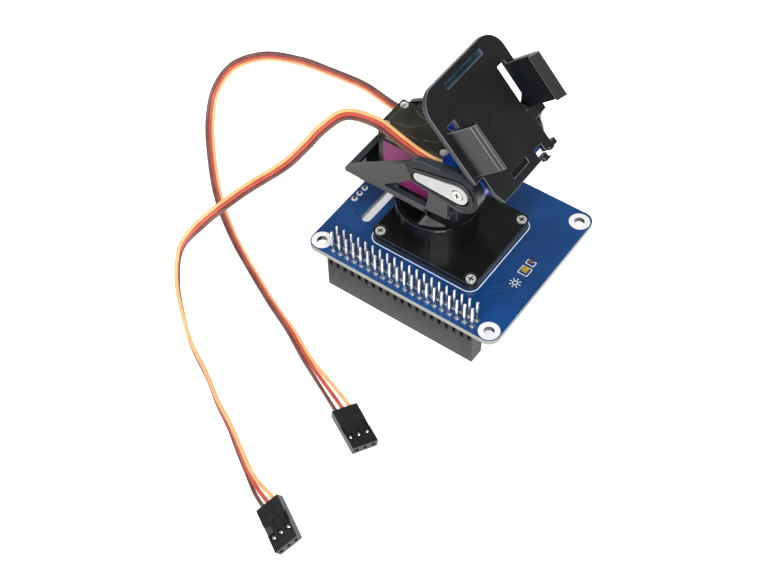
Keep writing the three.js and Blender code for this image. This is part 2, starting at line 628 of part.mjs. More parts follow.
// a snap tab, from v low to v high, that reaches out to top: side is -1 on the left and 1 on the right
function snapTab(side, low, high, top) {
  const across = (offset) => PLATE_MIDDLE + side * offset;
  const profile = polygon([
    [PLATE_BACK + 0.2, across(TAB_OUTER)], [top - 1.9, across(TAB_OUTER)],
    [top - 1.6, across(TAB_OUTER - 0.3)], [top - 0.5, across(TAB_OUTER - 0.3)],
    [top, across(TAB_OUTER - 0.8)], [top - 2.7, across(TAB_INNER - 1.3)],
    [top - 3.4, across(TAB_INNER)], [PLATE_BACK + 0.2, across(TAB_INNER)],
  ]);
  return toSolid(extrude(profile, high - low, 1).translate(0, 0, low));
}

const ARM_INNER = 16.9;
const ARM_OUTER = PLATE_RIGHT;

function buildCameraPlate() {
  const plate = slabW(plateOutline(), PLATE_BACK, PLATE_FRONT);
  const openings = [
    block(0, 10, PLATE_MIDDLE - TAB_INNER, -9.6, 3.3, 17.8),
    block(0, 10, 12.4, PLATE_MIDDLE + TAB_INNER, 4.5, 19.3),
    block(0, 10, 7, 10.3, -7.3, -4.7),
    block(0, 10, 10.2, 12, -9, -7.3),
  ];
  const topGroove = block(PLATE_FRONT - 4, 10, -5.5, 10.7, 24.8, 26.4);
  const lowGroove = block(PLATE_FRONT - 1, 10, -4, 3.2, -5.6, -3.9);
  const rail = block(PLATE_BACK - 3.2, PLATE_BACK + 0.2, -6.6, 11.8, 23.7, 27.4);
  const hooks = join(
    block(PLATE_BACK, PLATE_FRONT, 13.2, 15.6, -7.9, -6.2),
    block(PLATE_BACK, PLATE_FRONT, 8.4, 10.8, -9.4, -7.6));
  const armShape = new THREE.Shape();
  armShape.moveTo(PLATE_BACK + 0.2, PLATE_STEP);
  armShape.lineTo(PLATE_BACK + 0.2, 10);
  armShape.lineTo(3, 6);
  armShape.absarc(0, 0, 3.8, Math.PI / 2, Math.PI * 1.75, false);
  const armAxes = new THREE.Matrix4().makeBasis(
    new THREE.Vector3(1, 0, 0), new THREE.Vector3(0, 0, 1), new THREE.Vector3(0, -1, 0));
  const arm = toSolid(extrude(armShape, ARM_OUTER - ARM_INNER, 12)
    .applyMatrix4(armAxes).translate(0, ARM_OUTER, 0));
  const pivotBore = rod(1.3, [0, 15, 0], [0, 20, 0], 20);
  const bracket = join(
    block(-5.6, PLATE_BACK + 0.2, -1.1, 1.1, SERVO_FAR_END + 0.4, SERVO_FAR_END + 6.2),
    block(PLATE_BACK - 4, PLATE_BACK + 0.2, -8.2, 1.1, SERVO_FAR_END + 5.2, SERVO_FAR_END + 6.2));
  const earBore = rod(0.8, [0, -2, SERVO_FAR_END + 2.4], [0, 2, SERVO_FAR_END + 2.4], 12);
  const tabs = join(snapTab(-1, 2.5, 16.6, 19.2), snapTab(1, 4.2, 18.3, 20.6));
  addPiece('camera_plate', cut(join(plate, tabs, rail, hooks, arm, bracket),
    ...openings, topGroove, lowGroove, pivotBore, earBore), BLACK_NYLON, PLATE_FRAME);
}

function buildTiltServo() {
  const back = new THREE.Vector3(0, TILT_SERVO_BACK - HEAD_Y, 0).applyMatrix4(PLATE_FRAME);
  const long = [-Math.sin(REST_TILT), 0, Math.cos(REST_TILT)];
  const placement = servoPlacement(back.toArray(), long, [0, -1, 0]);
  buildServo('tilt', placement, {
    coverLook: BLUE_CLEAR, caseLook: BLUE_CLEAR, gearCaseLook: BLUE_CLEAR,
    earLow: 2, earHigh: SERVO_EAR_LENGTH, shaftTip: 28,
  });
}

function buildTiltFasteners() {
  const pivot = join(
    rod(2.1, [0, ARM_OUTER + 0.3, 0], [0, ARM_OUTER + 1.5, 0], 20),
    rod(0.95, [0, ARM_INNER - 0.3, 0], [0, ARM_OUTER + 0.4, 0], 16),
    rod(1.4, [0, YOKE_HALF_WIDTH - YOKE_FAR_WALL - 0.4, 0], [0, ARM_INNER - 0.25, 0], 32));
  const pivotRecess = crossSlotsY(0, 0, ARM_OUTER + 1, ARM_OUTER + 2, 1.2, 0.25);
  addPiece('pivot_screw', cut(pivot, ...pivotRecess), STEEL, PLATE_FRAME);

  const hole = SERVO_FAR_END + 2.4;
  const earFace = TILT_SERVO_BACK - SERVO_EAR_HIGH - HEAD_Y;
  const mounting = join(
    rod(1.7, [0, earFace - 1.3, hole], [0, earFace - 0.3, hole], 16),
    rod(0.5, [0, earFace - 0.4, hole], [0, 0.9, hole], 8));
  const mountingRecess = crossSlotsY(0, hole, earFace - 2, earFace - 0.8, 1, 0.2);
  addPiece('tilt_servo_mounting_screw', cut(mounting, ...mountingRecess), STEEL, PLATE_FRAME);
}

// ---------------------------------------------------------------- servo leads

// points relative to the board's top, chosen by hand along each lead
const PAN_LEAD_ROUTE = [
  [0.6, 24.3, 34], [2.4, 24.2, 34], [4, 22.6, 34.4], [4.2, 19.5, 35.2], [3, 16.4, 36.4],
  [0.2, 14.4, 37.8], [-5, 14, 38.8], [-11.7, 15.3, 38.9], [-21.1, 16.7, 39.4], [-30.5, 15.4, 37.8],
  [-35.7, 11.5, 32.6], [-39.3, 7.8, 26.6], [-44.2, 4.3, 19.2], [-54.6, -4.8, 8.8], [-61.4, -16.3, 1.2],
  [-62.9, -24, -2.6], [-58.4, -32, -7], [-51.2, -38.7, -9.8], [-42.7, -45, -12], [-33, -50.1, -13.7],
  [-24.4, -55.6, -14], [-16.6, -59.8, -14], [-6.6, -66.1, -14], [0.5, -70.2, -13.4], [8.3, -73.4, -11.7],
];
const TILT_LEAD_ROUTE = [
  [15.8, 35.8, 34.4], [17.4, 35.8, 32.6], [17.2, 35.6, 30.4], [14.6, 35.3, 28.8], [10.5, 35, 28.2],
  [5, 34.8, 28.6], [-2, 34.4, 30], [-10, 33.8, 31], [-18, 32.9, 31.4], [-23.4, 31.6, 31],
  [-37, 33.7, 30.6], [-51.1, 35.4, 27.6], [-64.9, 38.3, 22.4], [-80.9, 39, 15.4], [-91.2, 35.7, 8],
  [-94.1, 30, 1], [-91.3, 22.8, -5], [-82.4, 12.4, -9], [-71.7, 2.5, -12], [-58.7, -6.2, -13.4],
  [-43.2, -14.5, -14], [-33.2, -19.5, -14], [-22.9, -24, -14], [-13, -29.2, -14], [-5.5, -32.4, -14],
  [-1, -34.3, -13.9], [6.1, -37.5, -13.2],
];

// where a plug lies on the floor: its middle, its turn from the X axis and its roll about its own length
const PAN_PLUG_PLACE = { middle: [13.9, -76.6, -11.68], turn: -29.9, roll: 33.9 };
const TILT_PLUG_PLACE = { middle: [11.9, -40.6, -13.15], turn: -28.3, roll: -6.5 };

function buildLead(name, route, steps) {
  const path = new THREE.CatmullRomCurve3(
    route.map(([x, y, z]) => new THREE.Vector3(x, y, above(z))), false, 'centripetal');
  const section = new THREE.Shape().absarc(0, 0, LEAD_RADIUS, 0, 2 * Math.PI);
  const tube = new THREE.ExtrudeGeometry(section, {
    steps, extrudePath: path, curveSegments: 4, bevelEnabled: false,
  });
  addPiece(name, toSolid(tube), LEAD_RED);
}

function buildPlug(name, { middle, turn, roll }) {
  const inLine = PLUG_LENGTH / 2;
  const side = PLUG_WIDTH / 2;
  const high = PLUG_HEIGHT / 2;
  let plug = block(-inLine, inLine, -side, side, -high, high);
  plug = plug.subtract(block(-1.3, 1.6, -side - 1, side + 1, high - 0.25, high + 1));
  for (const y of [-PIN_PITCH / 2, PIN_PITCH / 2]) {
    plug = plug.add(block(-1.4, 1.7, y - 0.5, y + 0.5, high - 0.4, high - 0.05));
  }
  for (const y of [-PIN_PITCH, 0, PIN_PITCH]) {
    plug = plug.subtract(block(inLine - 7, inLine + 1, y - 0.5, y + 0.5, -0.5, 0.5));
    plug = plug.subtract(block(1.9, 3.5, y - 0.75, y + 0.75, 0.1, high + 1));
  }
  plug = plug.subtract(block(-inLine - 1, -inLine + 1.4, -3.3, 3.3, -high + 0.2, high - 0.2));
  const [x, y, z] = middle;
  const placement = new THREE.Matrix4().makeTranslation(x, y, above(z))
    .multiply(new THREE.Matrix4().makeRotationZ(THREE.MathUtils.degToRad(turn)))
    .multiply(new THREE.Matrix4().makeRotationX(THREE.MathUtils.degToRad(roll)));
  addPiece(name, plug, DARK_PLASTIC, placement);
}

// ---------------------------------------------------------------- assembly

buildBoard();
buildHeader();
buildLightHeader();
buildServoHeader('pan_servo_header', -6);
buildServoHeader('tilt_servo_header', 4);
buildBoardParts();
buildBase();
buildBaseFasteners();
buildPanHorn();
buildYoke();
buildYokeScrews();
buildPanServo();
buildTiltHorn();
buildCameraPlate();
buildTiltServo();
buildTiltFasteners();
buildLead('pan_lead', PAN_LEAD_ROUTE, 72);
buildLead('tilt_lead', TILT_LEAD_ROUTE, 76);
buildPlug('pan_plug', PAN_PLUG_PLACE);
buildPlug('tilt_plug', TILT_PLUG_PLACE);

export default group;
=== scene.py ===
"""Looks of the pan tilt camera mount: materials, wires, printing, lights and camera."""

import math

import bmesh
import bpy
from mathutils import Matrix, Vector


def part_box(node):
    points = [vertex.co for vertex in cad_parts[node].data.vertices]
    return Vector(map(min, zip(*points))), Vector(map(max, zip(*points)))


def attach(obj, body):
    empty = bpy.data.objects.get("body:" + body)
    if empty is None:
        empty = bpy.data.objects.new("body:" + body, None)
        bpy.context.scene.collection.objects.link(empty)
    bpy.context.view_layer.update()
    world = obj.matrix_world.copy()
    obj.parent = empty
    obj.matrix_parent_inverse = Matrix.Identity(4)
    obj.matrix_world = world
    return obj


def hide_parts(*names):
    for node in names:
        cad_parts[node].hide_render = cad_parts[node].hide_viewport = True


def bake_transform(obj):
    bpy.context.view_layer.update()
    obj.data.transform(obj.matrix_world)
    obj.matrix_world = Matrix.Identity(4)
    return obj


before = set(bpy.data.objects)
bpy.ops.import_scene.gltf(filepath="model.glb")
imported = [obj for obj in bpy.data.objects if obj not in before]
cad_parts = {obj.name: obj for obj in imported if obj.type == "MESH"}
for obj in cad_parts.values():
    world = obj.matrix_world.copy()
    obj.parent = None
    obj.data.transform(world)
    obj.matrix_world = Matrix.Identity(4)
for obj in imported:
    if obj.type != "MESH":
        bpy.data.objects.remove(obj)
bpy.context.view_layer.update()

MM = 0.001
BOARD_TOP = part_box("circuit_board")[1].z
HEAD_Y = 24.3 * MM
PIN_PITCH = 2.54 * MM


def above(x, y, height):
    """A point given in millimetres, its height counted from the top of the circuit board."""
    return Vector((x * MM, y * MM, BOARD_TOP + height * MM))


# ---------------------------------------------------------------- materials

class Look:
    """A procedural material, with its node helpers. Its textures run in object coordinates, in metres."""

    def __init__(self, name, roughness=0.4, metallic=0.0):
        self.material = bpy.data.materials.new(name)
        self.material.use_nodes = True
        self.tree = self.material.node_tree
        self.surface = self.tree.nodes["Principled BSDF"]
        self.place = self.node("ShaderNodeTexCoord").outputs["Object"]
        self.set("Roughness", roughness)
        self.set("Metallic", metallic)

    def node(self, kind, **properties):
        made = self.tree.nodes.new(kind)
        for key, value in properties.items():
            setattr(made, key, value)
        return made

    def link(self, source, target):
        self.tree.links.new(source, target)

    def set(self, socket, value):
        self.surface.inputs[socket].default_value = value

    def noise(self, size_mm, detail=2.0, stretch=(1, 1, 1)):
        mapping = self.node("ShaderNodeMapping")
        mapping.inputs["Scale"].default_value = stretch
        self.link(self.place, mapping.inputs["Vector"])
        texture = self.node("ShaderNodeTexNoise")
        texture.inputs["Scale"].default_value = 1 / (size_mm * MM)
        texture.inputs["Detail"].default_value = detail
        self.link(mapping.outputs["Vector"], texture.inputs["Vector"])
        return texture.outputs["Fac"]

    def ramp(self, source, low, high, start=0.35, end=0.65):
        made = self.node("ShaderNodeValToRGB")
        made.color_ramp.elements[0].position = start
        made.color_ramp.elements[1].position = end
        made.color_ramp.elements[0].color = (*low, 1)
        made.color_ramp.elements[1].color = (*high, 1)
        self.link(source, made.inputs["Fac"])
        return made.outputs["Color"]

    def colour(self, source, low, high, start=0.35, end=0.65):
        self.link(self.ramp(source, low, high, start, end), self.surface.inputs["Base Color"])

    def rough(self, source, low, high):
        spread = self.node("ShaderNodeMapRange")
        spread.inputs["To Min"].default_value = low
        spread.inputs["To Max"].default_value = high
        self.link(source, spread.inputs["Value"])
        self.link(spread.outputs["Result"], self.surface.inputs["Roughness"])

    def bump(self, source, depth_mm, strength=0.5):
        made = self.node("ShaderNodeBump")
        made.inputs["Strength"].default_value = strength
        made.inputs["Distance"].default_value = depth_mm * MM
        self.link(source, made.inputs["Height"])
        self.link(made.outputs["Normal"], self.surface.inputs["Normal"])


def moulded(name, dark, light, smooth, coarse, grain_mm=0.22, depth_mm=0.02):
    """Moulded plastic: faint flow marks in its colour and gloss, and a fine spark-eroded grain."""
    look = Look(name)
    flow = look.noise(6, 4)
    look.colour(flow, dark, light)
    look.rough(look.noise(1.4, 3), smooth, coarse)
    look.bump(look.noise(grain_mm, 2), depth_mm)
    return look


def glossy_plastic(name, dark, light, patch_mm=7, smooth=0.1, coarse=0.24):
    """Thick tinted plastic: dark cloudy depths under a smooth moulded surface."""
    look = Look(name)
    look.colour(look.noise(patch_mm, 3), dark, light, 0.3, 0.7)
    look.rough(look.noise(2.2, 2), smooth, coarse)
    look.bump(look.noise(0.9, 2), 0.012)
    look.set("IOR", 1.49)
    look.set("Coat Weight", 0.3)
    return look


def metal(name, dark, light, smooth, coarse, stretch=(1, 1, 6), metallic=1.0):
    look = Look(name, metallic=metallic)
    marks = look.noise(0.5, 3, stretch)
    look.colour(marks, dark, light)
    look.rough(marks, smooth, coarse)
    look.bump(look.noise(0.3, 2, stretch), 0.008)
    return look


def solder_mask():
    """Glossy blue lacquer over copper: the copper shows as broad, slightly lighter areas."""
    look = Look("solder_mask_look")
    pour = look.noise(16, 1)
    look.colour(pour, (0.0022, 0.031, 0.118), (0.0036, 0.043, 0.155), 0.42, 0.58)
    look.rough(look.noise(3, 3), 0.22, 0.34)
    look.bump(look.noise(1.3, 2), 0.02, 0.25)
    look.set("Coat Weight", 0.4)
    look.set("Coat Roughness", 0.2)
    return look


def printed_label():
    """Magenta foil with a slow change of tone and nothing printed on it."""
    look = Look("label_look")
    look.colour(look.noise(7, 2), (0.17, 0.003, 0.085), (0.27, 0.008, 0.14))
    look.rough(look.noise(2, 2), 0.25, 0.4)
    look.bump(look.noise(1.2, 2), 0.02, 0.3)
    return look


def fibre_edge():
    look = Look("board_edge_look")
    weave = look.noise(0.35, 2, (1, 1, 5))
    look.colour(weave, (0.19, 0.2, 0.175), (0.3, 0.31, 0.27))
    look.rough(weave, 0.5, 0.7)
    return look


def insulation(name, dark, light):
    look = Look(name)
    look.colour(look.noise(5, 3), dark, light)
    look.rough(look.noise(1.1, 2), 0.38, 0.52)
    look.bump(look.noise(0.6, 2), 0.02, 0.3)
    look.set("Subsurface Weight", 0.08)
    look.set("Subsurface Scale", 0.0006)
    return look


def lit_table():
    """A pale table lit a little from below, as a light table is."""
    look = Look("floor_look")
    look.set("Emission Color", (1, 1, 1, 1))
    look.set("Emission Strength", 0.45)
    look.colour(look.noise(60, 2), (0.86, 0.86, 0.86), (0.9, 0.9, 0.9))
    look.rough(look.noise(20, 2), 0.6, 0.75)
    return look


NYLON = moulded("nylon_look", (0.0024, 0.0026, 0.0032), (0.0042, 0.0045, 0.0054), 0.24, 0.36,
                depth_mm=0.01)
# painted highlight: a paler slate on the rounded edges, where the gloss catches the light
NYLON_EDGE_HIGHLIGHT = moulded("nylon_edge_highlight_look", (0.085, 0.092, 0.102), (0.14, 0.15, 0.165), 0.3, 0.42,
                     depth_mm=0.01)
# painted sheen: a paler slate on the tops of the yoke's walls
NYLON_TOP_SHEEN = moulded("nylon_top_sheen_look", (0.014, 0.018, 0.023), (0.022, 0.028, 0.036), 0.3, 0.42,
                    depth_mm=0.01)
# painted reflection: a pale blue slate on the floor and walls of the plate's groove
GROOVE_REFLECTION_NYLON = moulded("groove_reflection_look", (0.03, 0.055, 0.08), (0.05, 0.085, 0.12), 0.35, 0.5, depth_mm=0.01)
# painted shade: a duller copy of the nylon that darkens the horn's housing
HOUSING_SHADE_NYLON = moulded("housing_shade_look", (0.0034, 0.0036, 0.0042), (0.006, 0.0064, 0.0074), 0.2, 0.32,
                        depth_mm=0.01)
HOUSING_SHADE_NYLON.set("Specular IOR Level", 0.16)
BASE_NYLON = moulded("base_nylon_look", (0.0034, 0.0036, 0.0041), (0.0056, 0.0059, 0.0066), 0.18, 0.3,
                     depth_mm=0.006)
# painted reflection: a light grey on the neck's ledge inside the cup
LEDGE_REFLECTION_NYLON = moulded("ledge_reflection_look", (0.11, 0.115, 0.12), (0.17, 0.175, 0.18), 0.3, 0.45)
PLATE_NYLON = moulded("plate_nylon_look", (0.0034, 0.0036, 0.0041), (0.006, 0.0063, 0.0072), 0.3, 0.42,
                      0.3, 0.015)
HEADER_PLASTIC = moulded("header_plastic_look", (0.008, 0.008, 0.0088), (0.015, 0.015, 0.016), 0.45, 0.65)
PLUG_PLASTIC = moulded("plug_plastic_look", (0.0045, 0.0045, 0.005), (0.009, 0.009, 0.0098), 0.36, 0.52)
CASE_PLASTIC = moulded("servo_case_look", (0.006, 0.006, 0.006), (0.01, 0.01, 0.0095), 0.25, 0.4)
HORN_PLASTIC = moulded("horn_look", (0.36, 0.36, 0.37), (0.43, 0.43, 0.44), 0.3, 0.45)
CHIP_RESIN = moulded("chip_resin_look", (0.01, 0.01, 0.011), (0.022, 0.022, 0.022), 0.5, 0.7)
SMOKED = glossy_plastic("smoked_plastic_look", (0.011, 0.0105, 0.0075), (0.034, 0.032, 0.022))
SMOKED_INNER = glossy_plastic("smoked_inner_look", (0.05, 0.048, 0.034), (0.085, 0.08, 0.06), 3)
BLUE_CLEAR = glossy_plastic("blue_plastic_look", (0.0015, 0.012, 0.12), (0.006, 0.06, 0.42), 2.6)
GREEN_BOARD = moulded("servo_board_look", (0.01, 0.05, 0.02), (0.03, 0.1, 0.04), 0.3, 0.5)
STEEL = metal("steel_look", (0.56, 0.55, 0.49), (0.82, 0.8, 0.73), 0.24, 0.4, metallic=0.5)
# painted shade: near black inside screw recesses and the header's notches
RECESS_SHADE = metal("recess_shade_look", (0.012, 0.012, 0.011), (0.03, 0.03, 0.028), 0.4, 0.55)
TINNED = metal("tinned_look", (0.5, 0.52, 0.56), (0.66, 0.68, 0.72), 0.4, 0.55, (1, 1, 1), metallic=0.2)
PIN_METAL = metal("pin_metal_look", (0.52, 0.52, 0.5), (0.78, 0.78, 0.76), 0.2, 0.32, (1, 1, 0.3))
SOLDER = metal("solder_look", (0.5, 0.5, 0.5), (0.8, 0.8, 0.8), 0.16, 0.34, (1, 1, 1))
BRASS = metal("brass_look", (0.4, 0.27, 0.08), (0.62, 0.45, 0.16), 0.25, 0.4)
PRINT_WHITE = moulded("white_print_look", (0.54, 0.54, 0.55), (0.62, 0.62, 0.63), 0.45, 0.6)
SENSOR_RESIN = glossy_plastic("sensor_look", (0.2, 0.13, 0.012), (0.36, 0.26, 0.035), 1.2)
CERAMIC = moulded("ceramic_look", (0.09, 0.045, 0.03), (0.15, 0.075, 0.045), 0.4, 0.55)
MASK = solder_mask()
TRACE = moulded("trace_look", (0.0028, 0.037, 0.134), (0.004, 0.047, 0.168), 0.22, 0.3)
# metal plating in the corner holes, darkened with painted shade
PLATED_HOLE_SHADE = metal("plated_hole_shade_look", (0.05, 0.05, 0.05), (0.12, 0.12, 0.12), 0.3, 0.45)
EDGE = fibre_edge()
LABEL = printed_label()
BROWN_WIRE = insulation("brown_wire_look", (0.095, 0.038, 0.032), (0.155, 0.065, 0.055))
RED_WIRE = insulation("red_wire_look", (0.4, 0.055, 0.034), (0.5, 0.078, 0.05))
ORANGE_WIRE = insulation("orange_wire_look", (0.64, 0.33, 0.125), (0.74, 0.41, 0.17))
FLOOR = lit_table()


# ---------------------------------------------------------------- camera

def make_camera():
    """The photo's viewpoint, fitted to the header and to three of the board's corner holes.

    Gives the direction from the object to the camera.
    """
    right = Vector((0.81574, 0.57833, -0.01022))
    up = Vector((-0.44942, 0.64484, 0.61823))
    back = Vector((0.36413, -0.49972, 0.78593))
    data = bpy.data.cameras.new("camera")
    data.sensor_width = 36
    data.lens = 66.1
    camera = bpy.data.objects.new("camera", data)
    turn = Matrix((right, up, back)).transposed().to_4x4()
    camera.matrix_world = Matrix.Translation((0.14653, -0.2077, 0.33428)) @ turn
    bpy.context.collection.objects.link(camera)
    bpy.context.scene.camera = camera
    return back


TO_CAMERA = make_camera()


# ---------------------------------------------------------------- mesh helpers

MERGE_DISTANCE = 0.02 * MM
CUT_DISTANCE = 0.002 * MM
FLAT_WITHIN = math.radians(1.5)
ROUNDED_ABOVE = math.radians(32)

# an edge is rounded only if the shortest edge at its ends is this many bevels long
ROOM_PER_BEVEL = 2.1


def piece_from(mesh_builder, name, body, looks, smooth_deg=35):
    """Turns a bmesh into an object that rides on a body."""
    mesh = bpy.data.meshes.new(name)
    mesh_builder.to_mesh(mesh)
    mesh_builder.free()
    for look in looks:
        mesh.materials.append(look.material)
    piece = bpy.data.objects.new(name, mesh)
    bpy.context.collection.objects.link(piece)
    shade(piece, smooth_deg)
    if body:
        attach(piece, body)
    return piece


def shade(piece, smooth_deg):
    """Smooths the piece, apart from the edges that turn by more than the angle."""
    mesh = piece.data
    mesh.polygons.foreach_set("use_smooth", [True] * len(mesh.polygons))
    mesh.set_sharp_from_angle(angle=math.radians(smooth_deg))


def apply_modifiers(piece):
    """Swaps the piece's mesh for what its modifiers make of it."""
    graph = bpy.context.evaluated_depsgraph_get()
    finished = bpy.data.meshes.new_from_object(piece.evaluated_get(graph))
    piece.modifiers.clear()
    piece.data = finished


def cleaned_copy(node):
    """The node's mesh with its flat areas merged back into whole faces."""
    builder = bmesh.new()
    builder.from_mesh(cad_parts[node].data)
    bmesh.ops.remove_doubles(builder, verts=builder.verts, dist=MERGE_DISTANCE)
    bmesh.ops.dissolve_limit(builder, angle_limit=FLAT_WITHIN, verts=builder.verts, edges=builder.edges)
    return builder


def mark_edges(builder, bevel_mm, convex_only, skip):
    """Marks the sharp edges to round over, apart from skipped ones and those with too little room."""
    weight = builder.edges.layers.float.new("bevel_weight_edge")
    for edge in builder.edges:
        sharp = edge.calc_face_angle(0) > ROUNDED_ABOVE and (edge.is_convex or not convex_only)
        room = min(near.calc_length() for vert in edge.verts for near in vert.link_edges)
        if sharp and room > ROOM_PER_BEVEL * bevel_mm * MM and not (skip and skip(edge)):
            edge[weight] = 1


def refined(node, body, looks, bevel_mm=0.2, segments=2, choose=None, edge_highlight_look=None, skip=None,
            cuts=()):
    """Stands in for a CAD node: the same shape with its edges rounded over, with a painted highlight on
    them if asked.

    choose gives a face's place in looks, and skip tells which edges stay sharp. Each cut is a plane,
    as (point, normal), that splits the faces it crosses so that choose can tell their parts apart.
    """
    builder = cleaned_copy(node)
    for place, normal in cuts:
        bmesh.ops.bisect_plane(builder, geom=builder.verts[:] + builder.edges[:] + builder.faces[:],
                               dist=CUT_DISTANCE, plane_co=place, plane_no=normal)
    if choose:
        for face in builder.faces:
            face.material_index = choose(face)
    mark_edges(builder, bevel_mm, edge_highlight_look is not None, skip)
    piece = piece_from(builder, node + "_finish", None, looks + ([edge_highlight_look] if edge_highlight_look else []))
    if bevel_mm:
        bevel = piece.modifiers.new("edges", "BEVEL")
        bevel.width = bevel_mm * MM
        bevel.segments = segments
        bevel.limit_method = "WEIGHT"
        # the bevels take the last look, which paints a highlight along the rounded edges
        if edge_highlight_look:
            bevel.material = len(looks)
        apply_modifiers(piece)
    shade(piece, 30)
    normals = piece.modifiers.new("normals", "WEIGHTED_NORMAL")
    normals.keep_sharp = True
    normals.weight = 100
    apply_modifiers(piece)
    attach(piece, body)
    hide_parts(node)
    return piece


def dress(node, look):
    """Gives a CAD node that keeps its own mesh a better material."""
    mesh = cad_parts[node].data
    for index in range(max(1, len(mesh.materials))):
        if index < len(mesh.materials):
            mesh.materials[index] = look.material
        else:
            mesh.materials.append(look.material)


def circle(centre, radius, count):
    return [centre + Vector((math.cos(2 * math.pi * i / count),
                             math.sin(2 * math.pi * i / count), 0)) * radius for i in range(count)]


def add_band(builder, outer, inner, thickness):
    """A closed flat band between two loops with the same number of points."""
    lift = Vector((0, 0, thickness))
    loops = [outer, [p + lift for p in outer], [p + lift for p in inner], inner]
    rows = [[builder.verts.new(p) for p in loop] for loop in loops]
    count = len(outer)
    for a, b in zip(rows, rows[1:] + rows[:1]):
        for i in range(count):
            j = (i + 1) % count
            builder.faces.new((a[i], a[j], b[j], b[i]))


def add_strip(builder, points, width, thickness):
    """A closed flat strip along a line of points."""
    half = width / 2
    left, right = [], []
    for i, point in enumerate(points):
        before = points[max(0, i - 1)]
        after = points[min(len(points) - 1, i + 1)]
        along = (after - before).normalized()
        across = Vector((-along.y, along.x, 0)) * half
        left.append(point + across)
        right.append(point - across)
    add_prism(builder, left + right[::-1], thickness)


def add_prism(builder, outline, thickness):
    """A closed flat plate over an outline."""
    lift = Vector((0, 0, thickness))
    low = [builder.verts.new(p) for p in outline]
    high = [builder.verts.new(p + lift) for p in outline]
    builder.faces.new(low[::-1])
    builder.faces.new(high)
    for i in range(len(outline)):
        j = (i + 1) % len(outline)
        builder.faces.new((low[i], low[j], high[j], high[i]))


def add_turned(builder, centre, profile, count):
    """A solid of revolution about a vertical line; its profile, in millimetres, runs from axis to axis."""
    rows = []
    for radius, height in profile:
        middle = centre + Vector((0, 0, height * MM))
        if radius == 0:
            rows.append([builder.verts.new(middle)])
        else:
            rows.append([builder.verts.new(p) for p in circle(middle, radius * MM, count)])
    for a, b in zip(rows, rows[1:]):
        for i in range(count):
            j = (i + 1) % count
            corners = [a[i % len(a)], a[j % len(a)], b[j % len(b)], b[i % len(b)]]
            unique = [v for k, v in enumerate(corners) if v not in corners[:k]]
            builder.faces.new(unique)


def rounded_loop(x0, x1, y0, y1, radius, height, steps=6):
    """A rounded rectangle's points, in millimetres, at a height above the board."""
    loop = []
    corners = ((x1 - radius, y0 + radius, -90), (x1 - radius, y1 - radius, 0),
               (x0 + radius, y1 - radius, 90), (x0 + radius, y0 + radius, 180))
    for cx, cy, start in corners:
        for i in range(steps + 1):
            turn = math.radians(start + 90 * i / steps)
            loop.append(above(cx + radius * math.cos(turn), cy + radius * math.sin(turn), height))
    return loop


# ---------------------------------------------------------------- servo leads

# each route runs from the servo to the plug, in millimetres as above() takes them
PAN_LEAD_ROUTE = [
    (0.6, 24.3, 34), (2.4, 24.2, 34), (4, 22.6, 34.4), (4.2, 19.5, 35.2), (3, 16.4, 36.4),
    (0.2, 14.4, 37.8), (-5, 14, 38.8), (-11.7, 15.3, 38.9), (-21.1, 16.7, 39.4), (-30.5, 15.4, 37.8),
    (-35.7, 11.5, 32.6), (-39.3, 7.8, 26.6), (-44.2, 4.3, 19.2), (-54.6, -4.8, 8.8), (-61.4, -16.3, 1.2),
    (-62.9, -24, -2.6), (-58.4, -32, -7), (-51.2, -38.7, -9.8), (-42.7, -45, -12), (-33, -50.1, -13.7),
    (-24.4, -55.6, -14), (-16.6, -59.8, -14), (-6.6, -66.1, -14), (0.5, -70.2, -13.4), (8.3, -73.4, -11.7),
]
TILT_LEAD_ROUTE = [
    (15.8, 35.8, 34.4), (17.4, 35.8, 32.6), (17.2, 35.6, 30.4), (14.6, 35.3, 28.8), (10.5, 35, 28.2),
    (5, 34.8, 28.6), (-2, 34.4, 30), (-10, 33.8, 31), (-18, 32.9, 31.4), (-23.4, 31.6, 31),
    (-37, 33.7, 30.6), (-51.1, 35.4, 27.6), (-64.9, 38.3, 22.4), (-80.9, 39, 15.4), (-91.2, 35.7, 8),
    (-94.1, 30, 1), (-91.3, 22.8, -5), (-82.4, 12.4, -9), (-71.7, 2.5, -12), (-58.7, -6.2, -13.4),
    (-43.2, -14.5, -14), (-33.2, -19.5, -14), (-22.9, -24, -14), (-13, -29.2, -14), (-5.5, -32.4, -14),
    (-1, -34.3, -13.9), (6.1, -37.5, -13.2),
]
# the tilt lead up to this point of its route is made as a piece of its own
TILT_LEAD_SPLIT = 7

ROUTE_STEP = 1.1 * MM
SHORTEST_STEP = 0.4
SAMPLES_PER_STRETCH = 24
WIRE_RADIUS = 0.54 * MM
WIRE_SIDES = 12
FLOOR_GAP = 0.05 * MM

# how each ribbon rolls about its route: (place along it from 0 to 1, degrees)
PAN_ROLLS = [(0, 180), (0.49, 180), (0.58, 262), (0.78, 272), (0.93, 298), (1, 326)]
TILT_HEAD_ROLLS = [(0, 70), (1, 62)]
TILT_ROLLS = [(0, 60), (0.15, 55), (0.4, 42), (0.8, 36), (0.92, 8), (1, 6)]

# how each ribbon splits into single wires before its plug: (over what length, to what spread)
PAN_FAN = (15 * MM, 1.75)
TILT_HEAD_FAN = (0, 1)
TILT_FAN = (24 * MM, 2.0)

# a ribbon lies flat up to the first height above the floor, and turns to the photo's viewpoint over
# the second
FLAT_HEIGHT = 3 * MM
FACING_HEIGHT = 10 * MM

# the wires wander a little where they are apart
SWAY = 0.1
SWAY_LENGTH = 9 * MM
MIDDLE_SWAY = 0.3

# each plug's middle in millimetres, its turn from the X axis and its roll about its own length
PLUG_PLACES = {
    "pan_plug": ((13.9, -76.6, -11.68), -29.9, 33.9),
    "tilt_plug": ((11.9, -40.6, -13.15), -28.3, -6.5),
}

